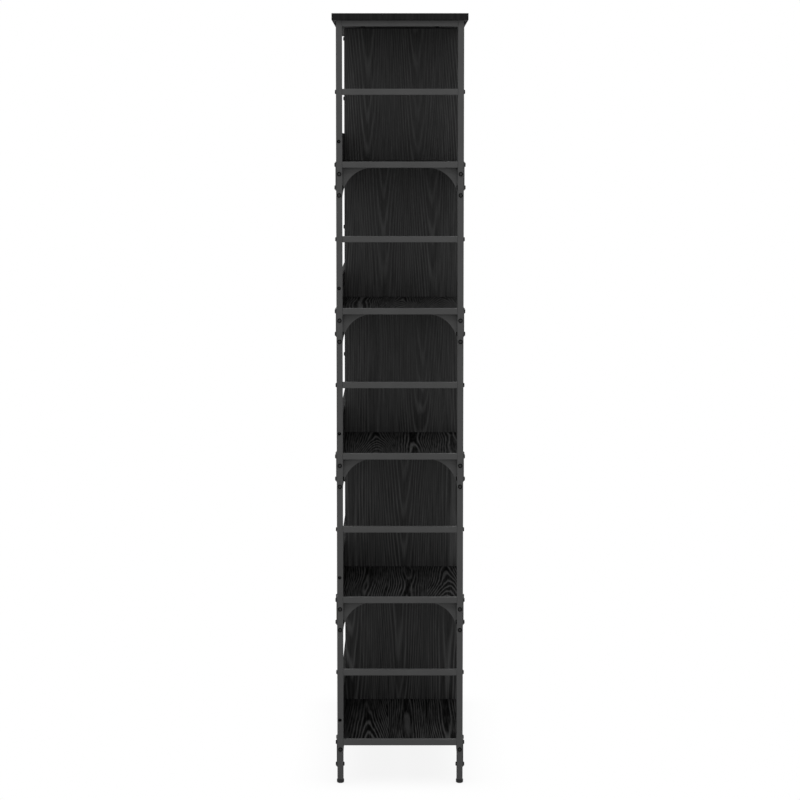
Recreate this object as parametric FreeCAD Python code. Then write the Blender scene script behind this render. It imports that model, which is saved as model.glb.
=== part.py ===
import FreeCAD, Part
import math
import os
from FreeCAD import Placement, Rotation, Vector

# A tall open bookcase. A bolted frame of square steel tube carries five shelves and a top board.
# Millimetres, +Z up. The front faces -Y, and the origin is on the floor under the middle.

# Overall sizes
overall_length = 1000.0
overall_depth = 330.0
tier_count = 5
first_shelf_height = 110.0
tier_pitch = 356.0
top_tier_height = 340.0
top_overhang = 10.0

# Boards
top_board_thickness = 16.0
shelf_thickness = 15.0
divider_thickness = 15.0
back_stop_thickness = 10.0
back_stop_height = 70.0
board_end_clearance = 0.5
board_edge_round = 0.6

# Frame tube
tube = 15.0
tube_wall = 1.2
tube_corner = 1.5
post_end_chamfer = 0.4
mid_rail_rise = 168.0
long_rail_height = 30.0
bottom_long_rail_height = 20.0
rail_plug_length = 20.0
plug_clearance = 0.1

# Corner plates on the front and back faces of the posts
plate_thickness = 1.6
plate_reach = 70.0
plate_corner = 1.5

# Curved gussets behind the posts of the end frames
gusset_sheet = 2.0
gusset_below_seam = 19.0

# Bars that join the lengths of a post
connector_length = 50.0
connector_clearance = 0.3

# Levelling feet
foot_diameter = 18.0
foot_height = 9.5
foot_round = 3.5
foot_stud_radius = 4.0
foot_stud_clearance = 0.05
foot_stud_tip = 1.0
insert_to_plate_gap = 5.0
stud_to_insert_top = 2.0

# Bolts and sleeve nuts
bolt_radius = 3.0
rail_bolt_length = 28.0
post_bolt_length = 13.0
bolt_head_radius = 5.25
bolt_head_height = 2.6
head_round = 2.0
socket_width = 4.0
socket_depth = 1.4
nut_head_radius = 5.25
nut_head_height = 2.6
sleeve_radius = 4.0
sleeve_length = 12.0
sleeve_floor = 1.5
hole_clearance = 0.2
thread_clearance = 0.05

# Wood screws and dowels
screw_radius = 2.0
board_screw_length = 25.0
back_stop_screw_length = 26.0
back_stop_screw_rise = 48.5
back_stop_screw_inset = 6.5
back_stop_head_radius = 4.0
screw_access_clearance = 0.5
top_screw_inset = 50.0
dowel_radius = 4.0
dowel_in_board = 9.0
dowel_in_divider = 21.0
dowel_inset_low = 70.0
dowel_inset_high = 40.0

# Places worked out from the sizes
frame_length = overall_length - 2 * top_overhang
frame_depth = overall_depth - 2 * top_overhang
half_length = frame_length / 2
half_depth = frame_depth / 2
post_x = half_length - tube / 2
post_y = half_depth - tube / 2
inner_x = half_length - tube
inner_y = half_depth - tube
bore = tube - 2 * tube_wall
shelf_tops = [first_shelf_height + tier * tier_pitch for tier in range(tier_count)]
frame_top = shelf_tops[-1] + top_tier_height
shelf_rail_levels = [top - tube / 2 for top in shelf_tops]
mid_rail_levels = [top + mid_rail_rise for top in shelf_tops]
top_rail_level = frame_top - tube / 2
plate_bolt_drop = plate_reach - tube / 2
post_seams = [top - plate_reach for top in shelf_tops[1:]]
post_ends = [foot_height] + post_seams + [frame_top]
back_stop_inner = half_depth - back_stop_thickness
board_half = inner_x - board_end_clearance
insert_length = first_shelf_height - plate_reach - insert_to_plate_gap - foot_height
corners = [
    ("front_left", -1, -1),
    ("front_right", 1, -1),
    ("back_left", -1, 1),
    ("back_right", 1, 1),
]
along_x = Rotation(Vector(1, 1, 1), 120)
along_y = Rotation(Vector(1, 1, 1), 240)
along_z = Rotation()


def export(node, solids):
    """Write the solids of one node to its own file."""
    shape = solids[0] if len(solids) == 1 else Part.makeCompound(solids)
    shape.exportStep(os.path.join("parts", node + ".step"))


def block(x_span, y_span, z_span):
    """Make a plain block between two limits on each axis."""
    corner = Vector(x_span[0], y_span[0], z_span[0])
    return Part.makeBox(
        x_span[1] - x_span[0], y_span[1] - y_span[0], z_span[1] - z_span[0], corner
    )


def board(x_span, y_span, z_span):
    """Make a board with all its edges slightly rounded."""
    blank = block(x_span, y_span, z_span)
    return blank.makeFillet(board_edge_round, blank.Edges)


def rounded_bar(width, depth, length, corner):
    """Make a bar along +Z from the origin, with its four long edges rounded."""
    bar = Part.makeBox(width, depth, length, Vector(-width / 2, -depth / 2, 0))
    if corner <= 0:
        return bar
    long_edges = [edge for edge in bar.Edges if abs(edge.tangentAt(0).z) > 0.9]
    return bar.makeFillet(corner, long_edges)


def hollow_tube(width, depth, length, end_chamfer=0):
    """Make a tube along +Z from the origin, with its outer end edges broken if a chamfer is given."""
    outside = rounded_bar(width, depth, length, tube_corner)
    if end_chamfer > 0:
        ends = [edge for edge in outside.Edges if edge.BoundBox.ZLength < end_chamfer]
        outside = outside.makeChamfer(end_chamfer, ends)
    inside = rounded_bar(width - 2 * tube_wall, depth - 2 * tube_wall, length, tube_corner - tube_wall)
    return outside.cut(inside)


def placed(shape, position, turn):
    """Return a copy of a shape, turned about the origin and moved to a position."""
    copy = shape.copy()
    copy.Placement = Placement(position, turn)
    return copy


def facing(shape, seat, outward):
    """Return a copy of a shape with its +Z turned outward and its origin on the seat."""
    return placed(shape, seat, Rotation(Vector(0, 0, 1), outward))


def drill(seat, outward, length, radius):
    """Make the cylinder of a hole that starts just outside a seat and runs inward."""
    start = seat + outward * plate_reach / 2
    return Part.makeCylinder(radius, length + plate_reach / 2, start, outward * -1)


def hole(centre, direction, length, radius):
    """Make the cylinder of a hole that runs both ways from its centre."""
    return Part.makeCylinder(radius, 2 * length, centre - direction * length, direction)


def pan_head(radius, height):
    """Make a flat head with a rounded rim on the seat plane, rising along +Z."""
    rim = Vector(radius, 0, height - head_round)
    crown = Vector(radius - head_round, 0, height)
    middle = Vector(crown.x + head_round * math.sqrt(0.5), 0, rim.z + head_round * math.sqrt(0.5))
    outline = Part.Wire([
        Part.makeLine(Vector(0, 0, 0), Vector(radius, 0, 0)),
        Part.makeLine(Vector(radius, 0, 0), rim),
        Part.Arc(rim, middle, crown).toShape(),
        Part.makeLine(crown, Vector(0, 0, height)),
        Part.makeLine(Vector(0, 0, height), Vector(0, 0, 0)),
    ])
    return Part.Face(outline).revolve(Vector(0, 0, 0), Vector(0, 0, 1), 360)


def socket_bolt(head_radius, shank_radius, length):
    """Make a bolt with a pan-shaped socket head above the seat plane and its shank below."""
    head = pan_head(head_radius, bolt_head_height)
    shank = Part.makeCylinder(shank_radius, length, Vector(0, 0, -length))
    corner_radius = socket_width / math.sqrt(3)
    floor = bolt_head_height - socket_depth
    rim = []
    for side in range(7):
        angle = math.radians(60 * side)
        rim.append(Vector(corner_radius * math.cos(angle), corner_radius * math.sin(angle), floor))
    socket = Part.Face(Part.makePolygon(rim)).extrude(Vector(0, 0, bolt_head_height))
    return head.fuse(shank).removeSplitter().cut(socket)


def sleeve_nut():
    """Make a nut with a pan-shaped head above the seat plane and a threaded sleeve below it."""
    head = pan_head(nut_head_radius, nut_head_height)
    sleeve = Part.makeCylinder(sleeve_radius, sleeve_length, Vector(0, 0, -sleeve_length))
    thread = Part.makeCylinder(
        bolt_radius + thread_clearance, sleeve_length - sleeve_floor, Vector(0, 0, -sleeve_length)
    )
    return head.fuse(sleeve).removeSplitter().cut(thread)


def long_rail_tall(tier):
    """Height of the long rail's tube under a shelf."""
    return bottom_long_rail_height if tier == 0 else long_rail_height


def long_rail_level(tier):
    """Height of a long rail's centre line."""
    return shelf_tops[tier] - shelf_thickness - long_rail_tall(tier) / 2


def long_rail_end(tier):
    """Half length of a long rail. The gussets lie between the upper ones and the posts."""
    return inner_x if tier == 0 else inner_x - gusset_sheet


def plate_bolt_level(tier):
    """Height of the bolt in a corner plate's lower end."""
    return shelf_tops[tier] - plate_bolt_drop


def gusset_top(tier):
    """Height of a gusset's upper edge, under the shelf and the end rail."""
    return shelf_tops[tier] - max(tube, shelf_thickness)


def gusset_bolt_level(tier):
    """Height of the bolt in a gusset's lower end."""
    return post_seams[tier - 1] - gusset_below_seam + tube / 2


# Where each fastener sits, as a seat point and the direction that its head faces
def rail_bolt_seats(sx, sy):
    seats = []
    for level in shelf_rail_levels:
        seats.append((Vector(sx * post_x, sy * (half_depth + plate_thickness), level), Vector(0, sy, 0)))
    for level in mid_rail_levels + [top_rail_level]:
        seats.append((Vector(sx * post_x, sy * half_depth, level), Vector(0, sy, 0)))
    for tier in range(tier_count):
        seats.append((Vector(sx * half_length, sy * post_y, long_rail_level(tier)), Vector(sx, 0, 0)))
    return seats


def plate_bolt_seats(sx, sy):
    face = sy * (half_depth + plate_thickness)
    levels = [plate_bolt_level(tier) for tier in range(tier_count)]
    return [(Vector(sx * post_x, face, level), Vector(0, sy, 0)) for level in levels]


def gusset_bolt_seats(sx, sy):
    levels = [gusset_bolt_level(tier) for tier in range(1, tier_count)]
    return [(Vector(sx * half_length, sy * post_y, level), Vector(sx, 0, 0)) for level in levels]


def plate_nut_seats(sx, sy):
    levels = [plate_bolt_level(tier) for tier in range(tier_count)]
    return [(Vector(sx * post_x, sy * inner_y, level), Vector(0, -sy, 0)) for level in levels]


def gusset_nut_seats(sx, sy):
    face = sx * (inner_x - gusset_sheet)
    levels = [gusset_bolt_level(tier) for tier in range(1, tier_count)]
    return [(Vector(face, sy * post_y, level), Vector(-sx, 0, 0)) for level in levels]


def shelf_screw_seat(sx, sy, tier):
    x = sx * (half_length - plate_bolt_drop)
    level = shelf_tops[tier] - shelf_thickness / 2
    return Vector(x, sy * (half_depth + plate_thickness), level), Vector(0, sy, 0)


def back_stop_screw_seat(sx, tier):
    """The head lies inside the post, on its inner wall, and is reached through a hole in the outer one."""
    y = half_depth - back_stop_screw_inset
    return Vector(sx * (inner_x + tube_wall), y, shelf_tops[tier] + back_stop_screw_rise), Vector(sx, 0, 0)


def top_screw_seat(sx, sy):
    return Vector(sx * post_x, sy * (inner_y - top_screw_inset), frame_top - tube), Vector(0, 0, -1)


def dowel_rows(tier):
    """Dowel centre lines of a divider: the y of each, its low end and its high end."""
    low_joint = shelf_tops[tier]
    high_joint = divider_top(tier)
    rows = []
    for inset, joint, up in [(dowel_inset_low, low_joint, 1), (dowel_inset_high, high_joint, -1)]:
        for y in (inset - half_depth, back_stop_inner - inset):
            ends = sorted((joint - up * dowel_in_board, joint + up * dowel_in_divider))
            rows.append((y, ends[0], ends[1]))
    return rows


def divider_top(tier):
    """Height of the board face that a divider reaches up to."""
    if tier == tier_count - 1:
        return frame_top
    return shelf_tops[tier + 1] - shelf_thickness


def dowel_holes(tier):
    """Cylinders of the dowel holes of one divider, a little wider than the dowels."""
    radius = dowel_radius + thread_clearance
    return [
        Part.makeCylinder(radius, high - low, Vector(0, y, low)) for y, low, high in dowel_rows(tier)
    ]


# Boards
def make_top_board():
    half_x = overall_length / 2
    half_y = overall_depth / 2
    slab = board((-half_x, half_x), (-half_y, half_y), (frame_top, frame_top + top_board_thickness))
    cuts = dowel_holes(tier_count - 1)
    for _, sx, sy in corners:
        seat, outward = top_screw_seat(sx, sy)
        cuts.append(drill(seat, outward, board_screw_length, screw_radius + thread_clearance))
    return slab.cut(cuts)


def make_shelf(tier):
    top = shelf_tops[tier]
    slab = board((-board_half, board_half), (-half_depth, half_depth), (top - shelf_thickness, top))
    cuts = dowel_holes(tier)
    if tier > 0:
        cuts += dowel_holes(tier - 1)
    for _, sx, sy in corners:
        seat, outward = shelf_screw_seat(sx, sy, tier)
        cuts.append(drill(seat, outward, board_screw_length, screw_radius + thread_clearance))
    return slab.cut(cuts)


def make_divider(tier):
    top = divider_top(tier)
    half = divider_thickness / 2
    slab = board((-half, half), (-half_depth, back_stop_inner), (shelf_tops[tier], top))
    cuts = dowel_holes(tier)
    if tier < tier_count - 1:
        low = top - long_rail_tall(tier + 1) - board_end_clearance
        reach = inner_y - board_end_clearance
        cuts.append(block((-tube, tube), (-half_depth - tube, -reach), (low, top + tube)))
        cuts.append(block((-tube, tube), (reach, half_depth + tube), (low, top + tube)))
    return slab.cut(cuts)


def make_back_stop(tier):
    low = shelf_tops[tier]
    slab = board((-board_half, board_half), (back_stop_inner, half_depth), (low, low + back_stop_height))
    cuts = []
    for sx in (-1, 1):
        seat, outward = back_stop_screw_seat(sx, tier)
        cuts.append(drill(seat, outward, back_stop_screw_length, screw_radius + thread_clearance))
    return slab.cut(cuts)


# Frame
def post_holes(sx, sy):
    """Cylinders of all the holes in one corner's post."""
    bolt_hole = bolt_radius + hole_clearance
    sleeve_hole = sleeve_radius + hole_clearance
    cuts = []
    for seat, outward in rail_bolt_seats(sx, sy):
        cuts.append(drill(seat, outward, rail_bolt_length, bolt_hole))
    for seat, outward in plate_bolt_seats(sx, sy) + gusset_bolt_seats(sx, sy):
        cuts.append(drill(seat, outward, post_bolt_length, bolt_hole))
    for seat, outward in plate_nut_seats(sx, sy) + gusset_nut_seats(sx, sy):
        cuts.append(drill(seat, outward, sleeve_length, sleeve_hole))
    if sy > 0:
        for tier in range(tier_count):
            seat, outward = back_stop_screw_seat(sx, tier)
            cuts.append(drill(seat, outward, back_stop_screw_length, screw_radius + hole_clearance))
            cuts.append(drill(seat, outward, 0, back_stop_head_radius + screw_access_clearance))
    return cuts


def make_post(sx, sy, low, high, cuts):
    """Make one length of a post, with the holes that lie in it."""
    blank = hollow_tube(tube, tube, high - low, post_end_chamfer)
    length = placed(blank, Vector(sx * post_x, sy * post_y, low), along_z)
    return length.cut([cut for cut in cuts if low < cut.BoundBox.Center.z < high])


def end_rail(sx, level):
    """Make one rail of an end frame, between the front and back posts."""
    return placed(hollow_tube(tube, tube, 2 * inner_y), Vector(sx * post_x, -inner_y, level), along_y)


def make_top_rail(sx):
    cuts = []
    for sy in (-1, 1):
        seat, outward = top_screw_seat(sx, sy)
        cuts.append(drill(seat, outward, board_screw_length, screw_radius + hole_clearance))
    return end_rail(sx, top_rail_level).cut(cuts)


def make_long_rail(sy, tier):
    end = long_rail_end(tier)
    tall = hollow_tube(tube, long_rail_tall(tier), 2 * end)
    return placed(tall, Vector(-end, sy * post_y, long_rail_level(tier)), along_x)


def rail_plug(tall):
    """Make a threaded block along +Z that fits the end of a rail."""
    fit = 2 * (tube_wall + plug_clearance)
    plug = rounded_bar(tube - fit, tall - fit, rail_plug_length, tube_corner - tube_wall)
    return plug.cut(Part.makeCylinder(bolt_radius + thread_clearance, rail_plug_length))


def make_rail_plugs():
    plugs = []
    levels = shelf_rail_levels + mid_rail_levels + [top_rail_level]
    for _, sx, sy in corners:
        start_y = -inner_y if sy < 0 else inner_y - rail_plug_length
        for level in levels:
            plugs.append(placed(rail_plug(tube), Vector(sx * post_x, start_y, level), along_y))
        for tier in range(tier_count):
            end = long_rail_end(tier)
            start_x = -end if sx < 0 else end - rail_plug_length
            position = Vector(start_x, sy * post_y, long_rail_level(tier))
            plugs.append(placed(rail_plug(long_rail_tall(tier)), position, along_x))
    return plugs


def make_connectors():
    """Make the bars inside the posts, half above and half below each seam."""
    side = bore - 2 * connector_clearance
    corner = tube_corner - tube_wall
    bar = rounded_bar(side, side, connector_length, corner)
    bars = []
    for _, sx, sy in corners:
        nuts = plate_nut_seats(sx, sy)[1:] + gusset_nut_seats(sx, sy)
        cuts = [hole(seat, outward, tube * 2, sleeve_radius + hole_clearance) for seat, outward in nuts]
        for seam in post_seams:
            low = seam - connector_length / 2
            blank = placed(bar, Vector(sx * post_x, sy * post_y, low), along_z)
            bars.append(blank.cut([cut for cut in cuts if abs(cut.BoundBox.Center.z - seam) < tube * 2]))
    return bars


def make_gusset(sx, sy, tier):
    """Make a flat plate behind a post, with a concave quarter round under the end rail."""
    top = gusset_top(tier)
    low = post_seams[tier - 1] - gusset_below_seam
    radius = top - low
    face_x = sx * inner_x

    def point(along, level):
        return Vector(face_x, sy * (inner_y - along), level)

    bend = radius * (1 - math.sqrt(0.5))
    outline = Part.Wire([
        Part.makeLine(point(-tube, top), point(radius, top)),
        Part.Arc(point(radius, top), point(bend, top - bend), point(0, low)).toShape(),
        Part.makeLine(point(0, low), point(-tube, low)),
        Part.makeLine(point(-tube, low), point(-tube, top)),
    ])
    plate = Part.Face(outline).extrude(Vector(-sx * gusset_sheet, 0, 0))
    rail_seat = Vector(face_x, sy * post_y, long_rail_level(tier))
    nut_seat = Vector(face_x, sy * post_y, gusset_bolt_level(tier))
    outward = Vector(sx, 0, 0)
    return plate.cut([
        hole(rail_seat, outward, tube, bolt_radius + hole_clearance),
        hole(nut_seat, outward, tube, sleeve_radius + hole_clearance),
    ])


def make_corner_plate(sx, sy, tier):
    """Make a two-legged plate with round ends and a concave inner edge."""
    top = shelf_tops[tier]
    face_y = sy * half_depth
    half_leg = tube / 2
    reach = plate_reach - half_leg
    bend = tube + (reach - tube) * (1 - math.sqrt(0.5))
    soft = plate_corner * (1 - math.sqrt(0.5))

    def point(inward, down):
        return Vector(sx * (half_length - inward), face_y, top - down)

    outline = Part.Wire([
        Part.makeLine(point(plate_corner, 0), point(reach, 0)),
        Part.Arc(point(reach, 0), point(plate_reach, half_leg), point(reach, tube)).toShape(),
        Part.Arc(point(reach, tube), point(bend, bend), point(tube, reach)).toShape(),
        Part.Arc(point(tube, reach), point(half_leg, plate_reach), point(0, reach)).toShape(),
        Part.makeLine(point(0, reach), point(0, plate_corner)),
        Part.Arc(point(0, plate_corner), point(soft, soft), point(plate_corner, 0)).toShape(),
    ])
    plate = Part.Face(outline).extrude(Vector(0, sy * plate_thickness, 0))
    outward = Vector(0, sy, 0)
    bolt_hole = bolt_radius + hole_clearance
    screw_seat = shelf_screw_seat(sx, sy, tier)[0]
    return plate.cut([
        hole(Vector(sx * post_x, face_y, shelf_rail_levels[tier]), outward, tube, bolt_hole),
        hole(Vector(sx * post_x, face_y, plate_bolt_level(tier)), outward, tube, bolt_hole),
        hole(screw_seat, outward, tube, screw_radius + hole_clearance),
    ])


# Feet
def make_foot(sx, sy):
    """Make a round foot with a stud that screws up into the leg."""
    radius = foot_diameter / 2
    stud_top = foot_height + insert_length - stud_to_insert_top
    soft = foot_round * math.sqrt(0.5)
    middle = Vector(radius - foot_round + soft, 0, foot_round - soft)
    points = [
        Vector(radius, 0, foot_round),
        Vector(radius, 0, foot_height),
        Vector(foot_stud_radius, 0, foot_height),
        Vector(foot_stud_radius, 0, stud_top - foot_stud_tip),
        Vector(foot_stud_radius - foot_stud_tip, 0, stud_top),
        Vector(0, 0, stud_top),
        Vector(0, 0, 0),
        Vector(radius - foot_round, 0, 0),
    ]
    edges = [Part.makeLine(start, end) for start, end in zip(points, points[1:])]
    edges.append(Part.Arc(points[-1], middle, points[0]).toShape())
    turned = Part.Face(Part.Wire(edges)).revolve(Vector(0, 0, 0), Vector(0, 0, 1), 360)
    return placed(turned, Vector(sx * post_x, sy * post_y, 0), along_z)


def make_leg_insert(sx, sy):
    side = bore - 2 * plug_clearance
    blank = rounded_bar(side, side, insert_length, tube_corner - tube_wall)
    thread = Part.makeCylinder(foot_stud_radius + foot_stud_clearance, insert_length)
    return placed(blank.cut(thread), Vector(sx * post_x, sy * post_y, foot_height), along_z)


# Fasteners
def make_rail_bolts():
    bolt = socket_bolt(bolt_head_radius, bolt_radius, rail_bolt_length)
    return [facing(bolt, *seat) for _, sx, sy in corners for seat in rail_bolt_seats(sx, sy)]


def make_post_bolts():
    bolt = socket_bolt(bolt_head_radius, bolt_radius, post_bolt_length)
    seats = []
    for _, sx, sy in corners:
        seats += plate_bolt_seats(sx, sy) + gusset_bolt_seats(sx, sy)
    return [facing(bolt, *seat) for seat in seats]


def make_sleeve_nuts():
    nut = sleeve_nut()
    seats = []
    for _, sx, sy in corners:
        seats += plate_nut_seats(sx, sy) + gusset_nut_seats(sx, sy)
    return [facing(nut, *seat) for seat in seats]


def make_board_screws():
    """Make the screws into the shelf edges, and those up through the top rails."""
    screw = socket_bolt(bolt_head_radius, screw_radius, board_screw_length)
    seats = []
    for _, sx, sy in corners:
        seats += [shelf_screw_seat(sx, sy, tier) for tier in range(tier_count)]
        seats.append(top_screw_seat(sx, sy))
    return [facing(screw, *seat) for seat in seats]


def make_back_stop_screws():
    screw = socket_bolt(back_stop_head_radius, screw_radius, back_stop_screw_length)
    return [facing(screw, *back_stop_screw_seat(sx, tier)) for sx in (-1, 1) for tier in range(tier_count)]


def make_dowels():
    return [
        Part.makeCylinder(dowel_radius, high - low, Vector(0, y, low))
        for tier in range(tier_count)
        for y, low, high in dowel_rows(tier)
    ]


os.makedirs("parts", exist_ok=True)
tiers = range(tier_count)
upper_tiers = range(1, tier_count)

export("top_board", [make_top_board()])
for tier in tiers:
    export(f"shelf_{tier + 1}", [make_shelf(tier)])
    export(f"divider_{tier + 1}", [make_divider(tier)])
    export(f"back_stop_{tier + 1}", [make_back_stop(tier)])

for corner, sx, sy in corners:
    cuts = post_holes(sx, sy)
    for number, (low, high) in enumerate(zip(post_ends, post_ends[1:]), start=1):
        export(f"{corner}_post_{number}", [make_post(sx, sy, low, high, cuts)])
    export(f"{corner}_foot", [make_foot(sx, sy)])

for side, sx in [("left", -1), ("right", 1)]:
    export(f"{side}_shelf_rails", [end_rail(sx, level) for level in shelf_rail_levels])
    export(f"{side}_mid_rails", [end_rail(sx, level) for level in mid_rail_levels])
    export(f"{side}_gussets", [make_gusset(sx, sy, tier) for sy in (-1, 1) for tier in upper_tiers])
export("top_rails", [make_top_rail(sx) for sx in (-1, 1)])

for side, sy in [("front", -1), ("back", 1)]:
    export(f"{side}_long_rails", [make_long_rail(sy, tier) for tier in tiers])
    export(f"{side}_corner_plates", [make_corner_plate(sx, sy, tier) for sx in (-1, 1) for tier in tiers])

export("rail_plugs", make_rail_plugs())
export("post_connectors", make_connectors())
export("leg_inserts", [make_leg_insert(sx, sy) for _, sx, sy in corners])
export("rail_bolts", make_rail_bolts())
export("post_bolts", make_post_bolts())
export("sleeve_nuts", make_sleeve_nuts())
export("board_screws", make_board_screws())
export("back_stop_screws", make_back_stop_screws())
export("divider_dowels", make_dowels())
print("overall", overall_length, overall_depth, frame_top + top_board_thickness)
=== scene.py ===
# %% [markdown]
# # A tall steel-and-oak bookcase
# The bookcase is a bolted frame of thin black steel tube that carries black oak boards. The measured
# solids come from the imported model, which is loaded first and never moved. This lesson sets the camera and
# the studio round it, models again the pieces whose edges catch the light, and gives every surface its
# finish. All sizes are in metres.

# %% Load the measured frame
import math

import bpy
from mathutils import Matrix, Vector


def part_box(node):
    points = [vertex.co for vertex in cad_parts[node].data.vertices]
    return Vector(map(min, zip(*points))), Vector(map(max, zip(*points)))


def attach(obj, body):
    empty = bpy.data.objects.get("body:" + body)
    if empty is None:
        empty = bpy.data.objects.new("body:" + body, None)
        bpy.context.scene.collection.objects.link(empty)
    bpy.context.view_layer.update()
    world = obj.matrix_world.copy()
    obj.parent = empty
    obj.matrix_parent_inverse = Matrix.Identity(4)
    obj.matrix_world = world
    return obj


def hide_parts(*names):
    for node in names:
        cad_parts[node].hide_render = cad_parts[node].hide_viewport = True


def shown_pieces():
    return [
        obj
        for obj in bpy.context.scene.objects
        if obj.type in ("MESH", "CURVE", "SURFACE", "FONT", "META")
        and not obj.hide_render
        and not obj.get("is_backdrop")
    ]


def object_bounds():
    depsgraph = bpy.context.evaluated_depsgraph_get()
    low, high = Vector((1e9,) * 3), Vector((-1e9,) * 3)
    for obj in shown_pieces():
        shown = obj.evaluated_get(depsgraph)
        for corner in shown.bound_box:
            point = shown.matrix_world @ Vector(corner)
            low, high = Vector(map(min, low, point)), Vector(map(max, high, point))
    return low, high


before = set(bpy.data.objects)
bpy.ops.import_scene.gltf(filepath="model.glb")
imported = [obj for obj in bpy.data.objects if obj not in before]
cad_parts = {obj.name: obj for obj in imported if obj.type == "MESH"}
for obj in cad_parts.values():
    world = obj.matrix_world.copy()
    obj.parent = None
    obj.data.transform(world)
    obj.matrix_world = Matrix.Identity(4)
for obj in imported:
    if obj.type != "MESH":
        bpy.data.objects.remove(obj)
cad_low, cad_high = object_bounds()
print("nodes", len(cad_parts), "size", [round(v, 3) for v in cad_high - cad_low])

# %% [markdown]
# ## Helpers for finishes
# Colours are given as sRGB hex values, but Blender's sockets expect linear light, so one function
# converts them. Another adds a shader node with its settings and links in one line, which keeps each
# material readable from top to bottom. A third starts a material without any nodes.


# %% Colour and node helpers
def linear(hex_colour):
    """Turn an sRGB hex colour into Blender's linear RGBA."""
    channels = [int(hex_colour[i : i + 2], 16) / 255 for i in (1, 3, 5)]
    return [c / 12.92 if c <= 0.04045 else ((c + 0.055) / 1.055) ** 2.4 for c in channels] + [1.0]


def add(tree, kind, settings=None, inputs=None, out=0):
    """Add a shader node, set its options, set or link its inputs, and return one of its outputs."""
    node = tree.nodes.new("ShaderNode" + kind)
    for key, value in (settings or {}).items():
        setattr(node, key, value)
    for key, value in (inputs or {}).items():
        if isinstance(value, bpy.types.NodeSocket):
            tree.links.new(value, node.inputs[key])
        else:
            node.inputs[key].default_value = value
    return node.outputs[out] if node.outputs else node


def new_material(name):
    """Start a material with an empty node tree, and return both."""
    material = bpy.data.materials.new(name)
    material.use_nodes = True
    material.node_tree.nodes.clear()
    return material, material.node_tree


print("white is", [round(c, 3) for c in linear("#ffffff")])

# %% [markdown]
# ## The camera
# The picture is an end view from far away: the camera stands almost 7 m from the middle of the bookcase,
# at the height of its top shelf, and looks a little down. A long lens keeps the posts nearly parallel while
# the far end frame still shows a little smaller than the near one.

# %% Camera
IMAGE_PIXELS = 800
FOCAL_PIXELS = 2666.6
CAMERA_DISTANCE = 6.9757
CAMERA_HEIGHT = 1.5807
LOOK_DOWN = math.radians(5.52)
camera_data = bpy.data.cameras.new("camera")
camera_data.sensor_width = 36.0
camera_data.lens = camera_data.sensor_width * FOCAL_PIXELS / IMAGE_PIXELS
camera_data.clip_end = 100.0
camera = bpy.data.objects.new("camera", camera_data)
camera.location = (-CAMERA_DISTANCE, 0.0, CAMERA_HEIGHT)
camera.rotation_euler = (math.pi / 2 - LOOK_DOWN, 0.0, -math.pi / 2)
bpy.context.scene.collection.objects.link(camera)
bpy.context.scene.camera = camera
print("lens", round(camera_data.lens, 1), "mm")

# %% [markdown]
# ## Floor and white surroundings
# The picture's ground is plain white. A floor could be left out, but the bookcase needs the light that a pale
# floor throws back up. So there is a matt sheet that lights the bookcase from below and that reflections see
# as white. To the camera it is like clear glass that is greyed only by the soft shadow of the bookcase, so a
# foot that is screwed out below the floor still shows. Ambient occlusion gives this shadow: it counts how
# much of the sky is hidden from a point. The surroundings are white to the camera and to reflections too, and
# light the bookcase at half that strength.

# %% Floor and backdrop
scene = bpy.context.scene
scene.view_settings.view_transform = "Standard"
FLOOR_WHITE = 0.8
SHADOW_REACH = 0.15
SHADOW_TONE = 0.84
SOFT_LIGHT = 0.5
FLOOR_SIZE = 60.0


def seen_directly(tree):
    """1 for camera, glossy and transmission rays, and 0 for light that bounces softly."""
    rays = add(tree, "LightPath").node.outputs
    either = add(tree, "Math", {"operation": "MAXIMUM"}, {0: rays["Is Camera Ray"], 1: rays["Is Glossy Ray"]})
    return add(tree, "Math", {"operation": "MAXIMUM"}, {0: either, 1: rays["Is Transmission Ray"]})


bpy.ops.object.select_all(action="DESELECT")
bpy.ops.mesh.primitive_plane_add(size=FLOOR_SIZE, location=(0.0, 0.0, 0.0))
floor = bpy.context.object
floor.name = "studio_floor"
floor_paint, tree = new_material("matt_pale_floor_paint")
glow = add(tree, "Math", {"operation": "MULTIPLY"}, {0: seen_directly(tree), 1: FLOOR_WHITE})
matt = add(tree, "BsdfDiffuse", inputs={"Color": linear("#b8b8b8")})
white = add(tree, "Emission", inputs={"Color": linear("#ffffff"), "Strength": glow})
sheet = add(tree, "AddShader", inputs={0: matt, 1: white})
open_sky = add(tree, "AmbientOcclusion", inputs={"Distance": SHADOW_REACH}, out="AO")
shadow = add(tree, "MapRange", inputs={"Value": open_sky, "To Min": SHADOW_TONE, "To Max": 1.0})
glass = add(tree, "BsdfTransparent", inputs={"Color": shadow})
by_camera = add(tree, "LightPath", out="Is Camera Ray")
surface = add(tree, "MixShader", inputs={"Fac": by_camera, 1: sheet, 2: glass})
add(tree, "OutputMaterial", inputs={"Surface": surface})
floor.data.materials.append(floor_paint)
floor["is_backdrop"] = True

world = bpy.data.worlds.new("white_studio")
scene.world = world
world.use_nodes = True
tree = world.node_tree
tree.nodes.clear()
strength = add(tree, "MapRange", inputs={"Value": seen_directly(tree), "To Min": SOFT_LIGHT, "To Max": 1.0})
sky = add(tree, "Background", inputs={"Color": linear("#ffffff"), "Strength": strength})
add(tree, "OutputWorld", inputs={"Surface": sky})
print("studio floor and white surroundings made")

# %% [markdown]
# ## Soft lamps
# A large soft lamp stands behind the camera, at about its height, and lights the end of the bookcase evenly.
# A second one hangs high in front of it. Its light comes steeply down, so boards shade what lies under them,
# as the top board does to the rail below it. Weaker lamps fill the two long sides and the far end.


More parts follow.
